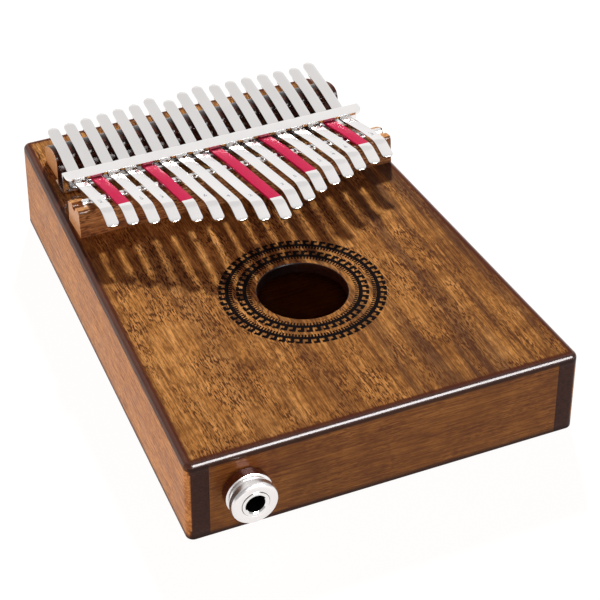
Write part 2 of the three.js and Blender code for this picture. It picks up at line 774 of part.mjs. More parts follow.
add(deck, 'piezo_disc', piezoDisc(), BRASS);
add(mbira, 'pickup_lead', pickupLead(), LEAD_JACKET);

export default mbira;
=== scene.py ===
"""The looks of a seventeen-tine box mbira with a built-in pickup, in metres.

+X is the player's right, +Y runs away from the player and +Z is up. Most pieces
are drawn above the soundboard's face, then laid on its slope by on_deck().
"""

import json
import math

import bmesh
import bpy
from mathutils import Matrix, Vector


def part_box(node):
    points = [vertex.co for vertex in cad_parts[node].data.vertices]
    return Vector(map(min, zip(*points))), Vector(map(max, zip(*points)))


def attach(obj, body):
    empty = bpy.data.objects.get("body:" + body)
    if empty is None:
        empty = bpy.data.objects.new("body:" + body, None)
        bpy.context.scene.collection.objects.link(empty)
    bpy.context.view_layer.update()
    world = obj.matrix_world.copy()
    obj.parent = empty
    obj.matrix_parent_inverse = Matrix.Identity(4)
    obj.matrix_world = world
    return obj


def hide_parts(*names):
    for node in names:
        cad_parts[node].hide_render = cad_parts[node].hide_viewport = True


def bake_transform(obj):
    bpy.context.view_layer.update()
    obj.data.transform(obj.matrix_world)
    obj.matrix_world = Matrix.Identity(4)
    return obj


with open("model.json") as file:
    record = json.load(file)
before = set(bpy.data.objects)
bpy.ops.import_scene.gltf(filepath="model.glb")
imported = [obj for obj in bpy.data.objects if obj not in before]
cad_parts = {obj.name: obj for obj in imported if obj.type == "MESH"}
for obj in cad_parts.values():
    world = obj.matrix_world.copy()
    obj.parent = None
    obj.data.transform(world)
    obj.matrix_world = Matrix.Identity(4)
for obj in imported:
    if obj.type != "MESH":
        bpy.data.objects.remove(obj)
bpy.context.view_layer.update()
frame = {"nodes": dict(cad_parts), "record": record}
MM = 0.001

# The box's driving dimensions.
BODY_LENGTH = 189.3 * MM
FRONT_WIDTH = 138.4 * MM
REAR_WIDTH = 116.5 * MM
FRONT_HEIGHT = 31.2 * MM
REAR_HEIGHT = 34.7 * MM
CORNER_RADIUS = 2.6 * MM
TOP_EDGE_RADIUS = 2.0 * MM
BOTTOM_EDGE_RADIUS = 1.0 * MM
TOP_THICKNESS = 4 * MM
BACK_THICKNESS = 4 * MM
SIDE_THICKNESS = 7.6 * MM
END_THICKNESS = 8 * MM
SEAM = 0.01 * MM
HALF_LENGTH = BODY_LENGTH / 2
SLOPE = math.atan((REAR_HEIGHT - FRONT_HEIGHT) / BODY_LENGTH)
TAPER = math.atan((FRONT_WIDTH - REAR_WIDTH) / 2 / BODY_LENGTH)
MIDDLE_HEIGHT = (FRONT_HEIGHT + REAR_HEIGHT) / 2
MIDDLE_HALF_WIDTH = (FRONT_WIDTH + REAR_WIDTH) / 4
DECK = Matrix.Translation((0, 0, MIDDLE_HEIGHT)) @ Matrix.Rotation(SLOPE, 4, "X")

HOLE_RADIUS = 15.4 * MM
HOLE_ROUNDING = 0.6 * MM
PROUD = 0.03 * MM
INLAY_DEPTH = 0.3 * MM
EDGE_STAIN = 1.8 * MM
EDGE_SHADE = 11 * MM
CONTRAST = 1.7
STREAK_PLACES = (17 * MM, 44 * MM)
STREAK_WIDTH = 2.2 * MM
STREAK_WANDER = 9 * MM
# The dark line colour: a seam stain under the top edge, and a painted contact shadow along the bottom edge.
SEAM_STAIN_AND_SHADOW = (0.020, 0.006, 0.004)

# The tines.
TINE_COUNT = 17
MIDDLE_TINE = 9
PAINTED_TINES = (2, 5, 9, 12, 16)
TINE_WIDTH = 4.3 * MM
TINE_THICKNESS = 0.98 * MM
TINE_EDGE = 0.16 * MM
SEAT_X = 1.2 * MM
TAIL_SHIFT = -0.5 * MM
REAR_PITCH = 6.44 * MM
FRONT_PITCH = 6.5 * MM
CONTACT_GAP = 0.15 * MM
SADDLE_EASE = 0.25 * MM
SADDLE_CREST_Y = 70.5 * MM
TINE_DIP = 7 * MM
REAR_SLOPE = 0.15
TONGUE_SLOPE = 0.22
TIP_LENGTH = 9.3 * MM
TIP_DROOP = 0.36
TIP_BEND_RADIUS = 7 * MM
TIP_CORNER = 1.5 * MM
SCALE_LENGTH = 7
MARK_SIZE = 2.7 * MM

# The bracket's sheet.
SHEET = 1.0 * MM
BRACKET_BEND = 1.3 * MM
BRACKET_CORNER = 3 * MM
SLOT_WIDTH = 5.1 * MM
SLOT_BOTTOM = 2.4 * MM
SCREW_RADIUS = 1.25 * MM
SCREW_HEAD_RADIUS = 2.5 * MM

# The jack, as distances from the front panel's face.
JACK_BORE = 3.25 * MM
BARREL_RADIUS = 4.6 * MM
BARREL_INSIDE = 26 * MM
JACK_REACH = 9.35 * MM
BUTTON_RADIUS = 7.9 * MM
BUTTON_WAIST = 6.6 * MM
FLANGE_DEPTH = 3.8 * MM
JACK_CLEARANCE = 0.15 * MM
PANEL_HOLE_RADIUS = 4.9 * MM

BODIES = frame["record"]["behaviour"]["bodies"]
BODY_OF = {node: body for body, nodes in BODIES.items() for node in nodes}


# ---- camera, lights and floor ---------------------------------------------

CAMERA_PLACE = Vector((-0.2476, -0.5766, 0.4812))
CAMERA_AZIMUTH = -24.2
CAMERA_ELEVATION = 36.947
CAMERA_ROLL = 0.173
CAMERA_LENS = 133.6
WORLD_LIGHT = 0.055
WARM_FILL = (1.0, 0.66, 0.50)
BRIGHT_WAY = (0.33, 0.68, 0.65)
SHADED_WAY = (0.26, 0.53, 0.81)


def make_camera():
    data = bpy.data.cameras.new("camera")
    data.lens = CAMERA_LENS
    data.sensor_width = 36
    data.clip_start = 0.01
    camera = bpy.data.objects.new("camera", data)
    turn = Matrix.Rotation(math.radians(CAMERA_AZIMUTH), 4, "Z")
    tilt = Matrix.Rotation(math.radians(90 - CAMERA_ELEVATION), 4, "X")
    roll = Matrix.Rotation(math.radians(CAMERA_ROLL), 4, "Z")
    camera.matrix_world = Matrix.Translation(CAMERA_PLACE) @ turn @ tilt @ roll
    bpy.context.scene.collection.objects.link(camera)
    bpy.context.scene.camera = camera


def area_light(name, azimuth, elevation, distance, size, power,
               diffuse=True, glossy=True, tint=(1, 1, 1)):
    """A soft light that faces the box. Azimuth 0 is in front of it, and 90 on its right."""
    data = bpy.data.lights.new(name, "AREA")
    data.shape = "RECTANGLE"
    data.size, data.size_y = size
    data.energy = power
    data.color = tint
    light = bpy.data.objects.new(name, data)
    across = math.radians(azimuth)
    up = math.radians(elevation)
    towards = Vector((math.sin(across) * math.cos(up), -math.cos(across) * math.cos(up), math.sin(up)))
    light.location = towards * distance
    light.rotation_euler = towards.to_track_quat("Z", "Y").to_euler()
    light.visible_camera = False
    light.visible_diffuse = diffuse
    light.visible_glossy = glossy
    bpy.context.scene.collection.objects.link(light)


def make_world():
    """White to the camera, bright behind the box for reflections, and dim and warm as a light."""
    world = bpy.data.worlds.new("studio")
    bpy.context.scene.world = world
    world.use_nodes = True
    world.cycles.sampling_method = "NONE"
    tree = world.node_tree
    tree.nodes.clear()
    direction = add(tree, "ShaderNodeTexCoord").outputs["Generated"]
    glow = span(tree, towards(tree, direction, BRIGHT_WAY), 0.2, 0.95, 0.42, 1.05)
    shade = span(tree, towards(tree, direction, SHADED_WAY), 0.92, 0.985, 0.0, 0.20)
    glow = calculate(tree, "SUBTRACT", glow, shade)
    path = add(tree, "ShaderNodeLightPath").outputs
    mirrored = calculate(tree, "MAXIMUM", glow, path["Is Camera Ray"])
    lighting = calculate(tree, "MULTIPLY", path["Is Diffuse Ray"], WORLD_LIGHT)
    not_lighting = calculate(tree, "SUBTRACT", 1.0, path["Is Diffuse Ray"])
    strength = calculate(tree, "ADD", calculate(tree, "MULTIPLY", mirrored, not_lighting), lighting)
    colour = blend_colours(tree, path["Is Diffuse Ray"], (1, 0.995, 0.99, 1), (*WARM_FILL, 1))
    light = add(tree, "ShaderNodeBackground", {"Color": colour, "Strength": strength})
    out = add(tree, "ShaderNodeOutputWorld")
    tree.links.new(light.outputs["Background"], out.inputs["Surface"])


def towards(tree, direction, way):
    """How nearly a direction points along a way, -1 to 1."""
    return add(tree, "ShaderNodeVectorMath", {0: direction, 1: way}, operation="DOT_PRODUCT").outputs["Value"]


def make_floor():
    """A backlit white table, so that the box throws almost no shadow on it."""
    size = 6.0
    corners = [(-size, -size, -SEAM), (size, -size, -SEAM), (size, size, -SEAM), (-size, size, -SEAM)]
    floor = new_piece("floor", corners, [(0, 1, 2, 3)])
    material, tree, bsdf = new_material("pale_floor")
    set_inputs(tree, bsdf, {
        "Base Color": (0.06, 0.06, 0.06, 1),
        "Roughness": 0.9,
        "Specular IOR Level": 0.05,
        "Emission Color": (1, 0.99, 0.98, 1),
        "Emission Strength": 0.98,
    })
    floor.data.materials.append(material)


# ---- shader nodes ---------------------------------------------------------

def new_material(name):
    material = bpy.data.materials.new(name)
    material.use_nodes = True
    return material, material.node_tree, material.node_tree.nodes["Principled BSDF"]


def set_inputs(tree, node, inputs):
    """Sets each input to a value, or joins it to a socket."""
    for key, value in inputs.items():
        if isinstance(value, bpy.types.NodeSocket):
            tree.links.new(value, node.inputs[key])
        else:
            node.inputs[key].default_value = value


def add(tree, kind, inputs=None, **settings):
    node = tree.nodes.new(kind)
    for key, value in settings.items():
        setattr(node, key, value)
    set_inputs(tree, node, inputs or {})
    return node


def calculate(tree, operation, first, second=0.0):
    return add(tree, "ShaderNodeMath", {0: first, 1: second}, operation=operation).outputs[0]


def span(tree, value, low, high, to_low=0.0, to_high=1.0):
    """Carries value smoothly from low..high to to_low..to_high."""
    inputs = {"Value": value, "From Min": low, "From Max": high, "To Min": to_low, "To Max": to_high}
    return add(tree, "ShaderNodeMapRange", inputs, interpolation_type="SMOOTHSTEP").outputs["Result"]


def blend_colours(tree, factor, first, second):
    return add(tree, "ShaderNodeMix", {0: factor, 6: first, 7: second}, data_type="RGBA").outputs[2]


def own_place(tree):
    """Where a point lies, as outputs X, Y and Z in metres."""
    place = add(tree, "ShaderNodeTexCoord").outputs["Object"]
    return add(tree, "ShaderNodeSeparateXYZ", {0: place}).outputs


def depth_from_side(tree, place):
    """How far a point lies inside the box's nearer side."""
    narrowing = calculate(tree, "MULTIPLY", place["Y"], math.tan(TAPER))
    half = calculate(tree, "SUBTRACT", MIDDLE_HALF_WIDTH, narrowing)
    return calculate(tree, "SUBTRACT", half, calculate(tree, "ABSOLUTE", place["X"]))


def texture(tree, waves, detail=2.0, roughness=0.5, distortion=0.0, offset=(0, 0, 0)):
    """Noise with so many waves to the metre along X, Y and Z."""
    place = add(tree, "ShaderNodeTexCoord").outputs["Object"]
    mapped = add(tree, "ShaderNodeMapping", {"Vector": place, "Scale": waves, "Location": offset})
    inputs = {"Vector": mapped.outputs["Vector"], "Scale": 1.0, "Detail": detail,
              "Roughness": roughness, "Distortion": distortion}
    return add(tree, "ShaderNodeTexNoise", inputs).outputs["Fac"]


def colour_steps(tree, value, colours):
    """A ramp through colours, evenly spaced over the middle of a noise's range."""
    ramp = add(tree, "ShaderNodeValToRGB", {"Fac": value})
    low, high = 0.3, 0.7
    elements = ramp.color_ramp.elements
    while len(elements) < len(colours):
        elements.new(0.5)
    for index, colour in enumerate(colours):
        elements[index].position = low + (high - low) * index / (len(colours) - 1)
        elements[index].color = (*colour, 1)
    return ramp.outputs["Color"]


def along_grain(axis, across, along):
    """Waves to the metre for a grain that runs along axis 0, 1 or 2."""
    waves = [across] * 3
    waves[axis] = along
    return tuple(waves)


def facing(tree, axis):
    """How squarely a surface faces along an axis, 0 to 1."""
    normal = add(tree, "ShaderNodeNewGeometry").outputs["Normal"]
    parts = add(tree, "ShaderNodeSeparateXYZ", {0: normal})
    return calculate(tree, "ABSOLUTE", parts.outputs[axis])


# ---- materials ------------------------------------------------------------

# Waves to the metre, across the grain and along it.
CLOUD_WAVES = (42, 9)
FIBRE_WAVES = (950, 36)
RIPPLE_WAVES = (90, 150)
HAIR_WAVES = (2300, 90)
PORE_WAVES = (2300, 420)
CROWD_WAVES = (110, 60)
BAND_WAVES = (120, 5)
WANDER_WAVES = (60, 14)
FIBRE_SHARE = 0.4
FLAT_GLOSS = 0.08


def wood(name, colours, pore, axis, gloss, end=None, pore_depth=1.0, figure=0.25,
         streaks=None, edge=None, coat_ior=1.3, corner_ends=None, edge_lines=False):
    """Lacquered wood whose grain runs along axis. end is its end grain's colour."""
    material, tree, bsdf = new_material(name)
    cloud = texture(tree, along_grain(axis, *CLOUD_WAVES), 4, 0.55, 0.6)
    fibre = texture(tree, along_grain(axis, *FIBRE_WAVES), 3, 0.6)
    ripple = texture(tree, along_grain(axis, *RIPPLE_WAVES), 3, 0.55, 0.4, (3, 1, 2))
    tone = calculate(tree, "MULTIPLY", fibre, FIBRE_SHARE)
    cloud_share = 1 - FIBRE_SHARE - figure
    tone = calculate(tree, "ADD", tone, calculate(tree, "MULTIPLY", cloud, cloud_share))
    tone = calculate(tree, "ADD", tone, calculate(tree, "MULTIPLY", ripple, figure))
    tone = calculate(tree, "MULTIPLY", tone, CONTRAST)
    tone = calculate(tree, "ADD", tone, 0.5 - 0.5 * CONTRAST)
    colour = colour_steps(tree, tone, colours)
    if streaks:
        colour = add_streaks(tree, colour, streaks, axis)
    hairs = texture(tree, along_grain(axis, *HAIR_WAVES), 2, 0.6, 0.0, (5, 2, 8))
    colour = blend_colours(tree, span(tree, hairs, 0.47, 0.58, 0.0, 0.50), colour, (*pore, 1))
    pores = texture(tree, along_grain(axis, *PORE_WAVES), 1.5, 0.5, 0.2, (7, 5, 1))
    crowd = texture(tree, along_grain(axis, *CROWD_WAVES), 2, 0.5, 0.0, (2, 9, 4))
    crowd = span(tree, crowd, 0.35, 0.62, 0.35, 1.0)
    pore_mask = span(tree, pores, 0.50, 0.57, 0.0, 0.95 * pore_depth)
    colour = blend_colours(tree, calculate(tree, "MULTIPLY", pore_mask, crowd), colour, (*pore, 1))
    if end:
        end_mask = span(tree, facing(tree, axis), 0.82, 0.92)
        colour = blend_colours(tree, end_mask, colour, end_grain(tree, end))
    if corner_ends:
        colour = blend_colours(tree, board_end_mask(tree), colour, end_grain(tree, corner_ends))
    if edge_lines:
        colour = blend_colours(tree, edge_line_mask(tree), colour, (*SEAM_STAIN_AND_SHADOW, 1))
    if edge:
        colour = blend_colours(tree, edge_mask(tree), colour, (*edge, 1))
        gloss = span(tree, facing(tree, 2), 0.96, 0.995, gloss, FLAT_GLOSS * gloss)
    bump = add(tree, "ShaderNodeBump", {"Height": pores, "Strength": 0.05, "Distance": 0.1 * MM})
    set_inputs(tree, bsdf, {
        "Base Color": colour,
        "Normal": bump.outputs["Normal"],
        "Roughness": span(tree, ripple, 0.3, 0.7, 0.42, 0.55),
        "Specular IOR Level": 0.05,
        "Coat Weight": gloss,
        "Coat Roughness": 0.18 if edge else 0.07,
        "Coat IOR": coat_ior,
    })
    return material


def end_grain(tree, colour):
    """Fine speckle on wood that is cut across its grain."""
    speckle = texture(tree, (1400, 1400, 1400), 2)
    return colour_steps(tree, speckle, [tuple(tone * c for c in colour) for tone in (0.75, 1.2)])


def board_end_mask(tree):
    """1 over the ends of the side boards, just inside the box's rounded corners."""
    inside = depth_from_side(tree, own_place(tree))
    past_corner = span(tree, inside, 0.8 * MM, 1.5 * MM)
    blur = 0.1 * MM
    on_board = span(tree, inside, SIDE_THICKNESS - blur, SIDE_THICKNESS + blur, 1.0, 0.0)
    return calculate(tree, "MULTIPLY", past_corner, on_board)


def edge_line_mask(tree):
    """1 on the painted contact shadow along the bottom edge and on the dark seam line under the rounded top
    edge.
    """
    place = own_place(tree)
    # Painted contact shadow: the colour darkens towards the bottom edge.
    bottom = span(tree, place["Z"], 1.2 * MM, 3.2 * MM, 0.9, 0.0)
    rise = calculate(tree, "MULTIPLY", place["Y"], math.tan(SLOPE))
    depth = calculate(tree, "SUBTRACT", calculate(tree, "ADD", MIDDLE_HEIGHT, rise), place["Z"])
    dark_to, clear_from = TOP_EDGE_RADIUS + 0.35 * MM, TOP_EDGE_RADIUS + 1.0 * MM
    under_edge = span(tree, depth, dark_to, clear_from, 0.85, 0.0)
    return calculate(tree, "MAXIMUM", bottom, under_edge)


def add_streaks(tree, colour, streak_colour, axis):
    """Dark bands in the grain, mostly on the right of the board, and the long streaks."""
    bands = texture(tree, along_grain(axis, *BAND_WAVES), 4, 0.6, 0.7, (1.7, 0.4, 0))
    across = own_place(tree)["X"]
    right = span(tree, across, -30 * MM, 50 * MM, 0.3, 1.0)
    mask = calculate(tree, "MULTIPLY", span(tree, bands, 0.49, 0.62, 0.0, 0.8), right)
    wander = texture(tree, along_grain(axis, *WANDER_WAVES), 3)
    wavy = calculate(tree, "ADD", across, calculate(tree, "MULTIPLY", wander, STREAK_WANDER))
    for centre in STREAK_PLACES:
        away = calculate(tree, "ABSOLUTE", calculate(tree, "SUBTRACT", wavy, centre))
        mask = calculate(tree, "MAXIMUM", mask, span(tree, away, 0.0, STREAK_WIDTH, 0.62, 0.0))
    return blend_colours(tree, mask, colour, (*streak_colour, 1))


def edge_mask(tree):
    """1 on the stained edge of the soundboard, fading to 0 a few millimetres in."""
    place = own_place(tree)
    from_end = calculate(tree, "SUBTRACT", HALF_LENGTH, calculate(tree, "ABSOLUTE", place["Y"]))
    nearest = calculate(tree, "MINIMUM", from_end, depth_from_side(tree, place))
    wander = calculate(tree, "MULTIPLY", texture(tree, (260, 260, 260), 2), 0.8 * MM)
    uneven = calculate(tree, "SUBTRACT", nearest, wander)
    rim = span(tree, uneven, EDGE_STAIN, 1.7 * EDGE_STAIN, 0.93, 0.0)
    broad = span(tree, nearest, 0.0, EDGE_SHADE, 0.2, 0.0)
    return calculate(tree, "MAXIMUM", rim, broad)


def metal(name, colour, roughness, brushed=None):
    """Plated or bare metal. brushed is the axis that the fine scratches follow."""
    material, tree, bsdf = new_material(name)
    waves = along_grain(brushed, 900, 40) if brushed is not None else (160, 160, 160)
    scratches = texture(tree, waves, 2)
    smudge = texture(tree, (70, 70, 70), 3)
    dull = tuple(0.95 * c for c in colour)
    set_inputs(tree, bsdf, {
        "Base Color": colour_steps(tree, smudge, [dull, colour]),
        "Roughness": span(tree, scratches, 0.3, 0.7, roughness, roughness + 0.03),
        "Metallic": 1.0,
    })
    return material


def smooth_coat(name, colour, roughness, shine=0.5):
    """Paint, inlay or plastic: one colour with a fine mottle."""
    material, tree, bsdf = new_material(name)
    mottle = texture(tree, (900, 900, 900), 2)
    tones = [tuple(0.88 * c for c in colour), tuple(min(1.0, 1.08 * c) for c in colour)]
    bump = add(tree, "ShaderNodeBump", {"Height": mottle, "Strength": 0.03, "Distance": 0.05 * MM})
    set_inputs(tree, bsdf, {
        "Base Color": colour_steps(tree, mottle, tones),
        "Roughness": span(tree, mottle, 0.3, 0.7, roughness, roughness + 0.06),
        "Normal": bump.outputs["Normal"],
        "Specular IOR Level": shine,
    })
    return material


# ---- meshes ---------------------------------------------------------------

def new_piece(name, vertices, faces):
    mesh = bpy.data.meshes.new(name)
    mesh.from_pydata([tuple(v) for v in vertices], [], faces)
    piece = bpy.data.objects.new(name, mesh)
    bpy.context.scene.collection.objects.link(piece)
    return piece


def bake(piece):
    """Applies the modifiers, so that the mesh is final."""
    bpy.context.view_layer.update()
    evaluated = piece.evaluated_get(bpy.context.evaluated_depsgraph_get())
    mesh = bpy.data.meshes.new_from_object(evaluated)
    piece.modifiers.clear()
    piece.data = mesh


def face_outwards(piece):
    work = bmesh.new()
    work.from_mesh(piece.data)
    bmesh.ops.recalc_face_normals(work, faces=work.faces)
    work.to_mesh(piece.data)
    work.free()


def finish_surface(piece, bevel=0.0, segments=3, angle=32):
    """Rounds the sharp edges and gives flat faces flat shading."""
    face_outwards(piece)
    if bevel:
        modifier = piece.modifiers.new("round", "BEVEL")
        modifier.width = bevel
        modifier.segments = segments
        modifier.limit_method = "ANGLE"
        modifier.angle_limit = math.radians(angle)
        bake(piece)
    piece.data.shade_smooth()
    piece.data.set_sharp_from_angle(angle=math.radians(angle))
    normals = piece.modifiers.new("normals", "WEIGHTED_NORMAL")
    normals.keep_sharp = True
    bake(piece)
    return piece


def cut(piece, *cutters):
    for cutter in cutters:
        face_outwards(cutter)
        modifier = piece.modifiers.new("cut", "BOOLEAN")
        modifier.operation = "DIFFERENCE"
        modifier.solver = "EXACT"
        modifier.object = cutter
    bake(piece)
    for cutter in cutters:
        bpy.data.objects.remove(cutter)
    return piece


def on_deck(piece):
    piece.data.transform(DECK)
    return piece


def deck_box(node):
    """The lowest and highest corner of a CAD node, in the soundboard's own frame."""
    lay_flat = DECK.inverted()
    places = [lay_flat @ vertex.co for vertex in frame["nodes"][node].data.vertices]
    low = Vector(min(place[axis] for place in places) for axis in range(3))
    high = Vector(max(place[axis] for place in places) for axis in range(3))
    return low, high


def wall_faces(count):
    """The walls between two outlines that have so many points each."""
    return [(i, (i + 1) % count, count + (i + 1) % count, count + i) for i in range(count)]


def block(name, low, high):
    corners = [(x, y, z) for z in (low[2], high[2]) for y in (low[1], high[1]) for x in (low[0], high[0])]
    faces = [(0, 2, 3, 1), (4, 5, 7, 6), (0, 1, 5, 4), (2, 6, 7, 3), (0, 4, 6, 2), (1, 3, 7, 5)]
    return new_piece(name, corners, faces)


def bar(name, outline, left, right):
    """A bar along X whose section is an outline of (y, z) points."""
    count = len(outline)
    vertices = [(x, y, z) for x in (left, right) for y, z in outline]
    faces = [tuple(range(count)), tuple(reversed(range(count, 2 * count)))]
    faces += wall_faces(count)
    return new_piece(name, vertices, faces)


def lathe(name, profile, segments=96, closed=False):
    """Turns a profile of (radius, height) about Z. It starts and ends on the axis, or is closed."""
    vertices, rings, faces = [], [], []
    for radius, height in profile:
        steps = 1 if radius < 1e-9 else segments
        rings.append([len(vertices) + i for i in range(steps)])
        for i in range(steps):
            angle = 2 * math.pi * i / segments
            vertices.append((radius * math.cos(angle), radius * math.sin(angle), height))
    pairs = list(zip(rings, rings[1:])) + ([(rings[-1], rings[0])] if closed else [])
    for lower, upper in pairs:
        for i in range(segments):
            j = (i + 1) % segments
            corners = [(lower, i), (lower, j), (upper, j), (upper, i)]
            face = tuple(dict.fromkeys(ring[k % len(ring)] for ring, k in corners))
            if len(face) > 2:
                faces.append(face)
    return new_piece(name, vertices, faces)


def arc(centre, radius, start, end, steps):
    """Points on an arc, from start to end in degrees."""
    angles = [math.radians(start + (end - start) * i / steps) for i in range(steps + 1)]
    return [(centre[0] + radius * math.cos(a), centre[1] + radius * math.sin(a)) for a in angles]


def curve_to(start, control, end, steps=10):
    """Points after start on a quadratic curve to end."""
    points = []
    for i in range(1, steps + 1):
        t = i / steps
        weights = ((1 - t) ** 2, 2 * t * (1 - t), t ** 2)
        points.append(tuple(sum(w * p[k] for w, p in zip(weights, (start, control, end))) for k in (0, 1)))
    return points


def stand_for(piece, node, *materials, also=()):
    """Dresses a piece and lets it stand for a CAD node, and others, on that node's body."""
    piece.data.materials.clear()
    for material in materials:
        piece.data.materials.append(material)
    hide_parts(node, *also)
    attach(piece, BODY_OF[node])


# ---- the box --------------------------------------------------------------

def top_height(y):
    return MIDDLE_HEIGHT + math.tan(SLOPE) * y


def half_width(y, inset=0.0):
    return MIDDLE_HALF_WIDTH - math.tan(TAPER) * y - inset / math.cos(TAPER)


def plan_outline(inset):
    """The box's plan with rounded corners, anticlockwise, moved in by inset."""
    radius = CORNER_RADIUS - inset
    front, rear = -HALF_LENGTH + CORNER_RADIUS, HALF_LENGTH - CORNER_RADIUS
    taper = math.degrees(TAPER)
    corners = [
        (half_width(front, CORNER_RADIUS), front, -90, taper),
        (half_width(rear, CORNER_RADIUS), rear, taper, 90),
        (-half_width(rear, CORNER_RADIUS), rear, 90, 180 - taper),
        (-half_width(front, CORNER_RADIUS), front, 180 - taper, 270),
    ]
    return [point for x, y, start, end in corners for point in arc((x, y), radius, start, end, 10)]


def rounded_rings(radius, height_at):
    rings = []
    steps = 10
    for i in range(steps + 1):
        angle = math.pi / 2 * i / steps
        outline = plan_outline(radius * (1 - math.sin(angle)))
        rings.append([(x, y, height_at(y, radius * (1 - math.cos(angle)))) for x, y in outline])
    return rings


def body_blank():
    lower = rounded_rings(BOTTOM_EDGE_RADIUS, lambda y, rise: rise)
    upper = rounded_rings(TOP_EDGE_RADIUS, lambda y, rise: top_height(y) - rise)
    rings = lower + upper[::-1]
    count = len(rings[0])
    faces = [tuple(reversed(range(count)))]
    for ring in range(len(rings) - 1):
        for i in range(count):
            a, b = ring * count + i, ring * count + (i + 1) % count
            faces.append((a, b, b + count, a + count))
    last = (len(rings) - 1) * count
    faces.append(tuple(range(last, last + count)))
    return [point for ring in rings for point in ring], faces


def panel(name, planes):
    """The part of the box's blank behind every plane, each a (point, normal)."""
    piece = new_piece(name, *body_blank())
    work = bmesh.new()
    work.from_mesh(piece.data)
    for point, normal in planes:
        geometry = work.verts[:] + work.edges[:] + work.faces[:]
        result = bmesh.ops.bisect_plane(work, geom=geometry, dist=1e-7, plane_co=point,
                                        plane_no=normal, clear_outer=True)
        rim = [item for item in result["geom_cut"] if isinstance(item, bmesh.types.BMEdge)]
        bmesh.ops.edgeloop_fill(work, edges=rim)
    work.to_mesh(piece.data)
    work.free()
    return piece


def inner_plane(side, inset, outside):
    """The inner face of a side board. outside tells which side of it is cut away."""
    point = (side * half_width(0, inset), 0, 0)
    outward = Vector((side, math.tan(TAPER), 0)).normalized()
    return point, outward if outside else -outward


def by_direction(piece, top_from=2.0, dark_below=-2.0):
    """Picks each face's material by where it looks.

    0 is up or straight down, 1 to a side, 2 to an end and 3 slanting down; 3 is painted shadow."""
    for face in piece.data.polygons:
        normal = face.normal
        if normal.z > top_from or normal.z < -0.999:
            face.material_index = 0
        elif normal.z < dark_below:
            face.material_index = 3
        else:
            face.material_index = 1 if abs(normal.x) > abs(normal.y) else 2


def make_box(top_wood, body_wood_along, body_wood_across, dark_edge):
    deck_normal = DECK.to_3x3() @ Vector((0, 0, 1))
    under_top = DECK @ Vector((0, 0, -TOP_THICKNESS))
    over_back = Vector((0, 0, BACK_THICKNESS))
    up = Vector((0, 0, 1))
    rim = [(under_top - SEAM * deck_normal, deck_normal), (over_back + SEAM * up, -up)]
    between = [inner_plane(side, SIDE_THICKNESS + SEAM, True) for side in (-1, 1)]
    front_cut = (0, -HALF_LENGTH + END_THICKNESS, 0)
    rear_cut = (0, HALF_LENGTH - END_THICKNESS, 0)

    back = panel("back_plate_fine", [(over_back, up)])
    woods = (body_wood_along, body_wood_along, body_wood_across, dark_edge)
    stand_for(finish_surface(back), "back_plate", *woods)
    # The back plate's rounding that slants down takes the dark edge wood: a painted contact shadow.
    by_direction(back, dark_below=-0.2)
    for side, node in ((-1, "side_left"), (1, "side_right")):
        board = panel(f"{node}_fine", rim + [inner_plane(side, SIDE_THICKNESS, False)])
        stand_for(finish_surface(board), node, body_wood_along)
    rear = panel("end_rear_fine", rim + between + [(rear_cut, (0, -1, 0))])
    stand_for(finish_surface(rear), "end_rear", body_wood_across)
    front = panel("end_front_fine", rim + between + [(front_cut, (0, 1, 0))])
    drill = [(0, -MM), (PANEL_HOLE_RADIUS, -MM), (PANEL_HOLE_RADIUS, 10 * MM), (0, 10 * MM)]
    bore = into_front(lathe("bore", drill))
    stand_for(finish_surface(cut(front, bore)), "end_front", body_wood_across)

    top = panel("soundboard_fine", [(under_top, -deck_normal)])
    hole = lathe("hole", hole_profile(), 160)
    hole.data.transform(Matrix.Translation((0, hole_y(), 0)))
    woods = (top_wood, body_wood_along, body_wood_across, dark_edge)
    stand_for(finish_surface(cut(top, on_deck(hole))), "soundboard", *woods)
    by_direction(top, top_from=0.3)
    darken_hole(top)


def darken_hole(top):
    """The hole's wall is stained as dark as the edge."""
    for face in top.data.polygons:
        reach = math.hypot(face.center.x, face.center.y - hole_y())
        if reach < HOLE_RADIUS + 0.3 * MM:
            face.material_index = 3


def hole_y():
    low, high = deck_box("rosette_outer")
    return (low.y + high.y) / 2


def hole_profile():
    """A drill whose shoulder leaves a small rounding at the soundboard's face."""
    wide = HOLE_RADIUS + HOLE_ROUNDING
    lip = arc((wide, -HOLE_ROUNDING), HOLE_ROUNDING, 180, 90, 6)
    return [(0, -10 * MM), (HOLE_RADIUS, -10 * MM), *lip, (wide, 2 * MM), (0, 2 * MM)]


# ---- the rosette ----------------------------------------------------------

BAND_SHARE = {"rosette_inner": 0.21, "rosette_outer": 0.164}
ROW_EDGES = (0.0, 0.13, 0.26, 0.54, 0.77, 1.0)


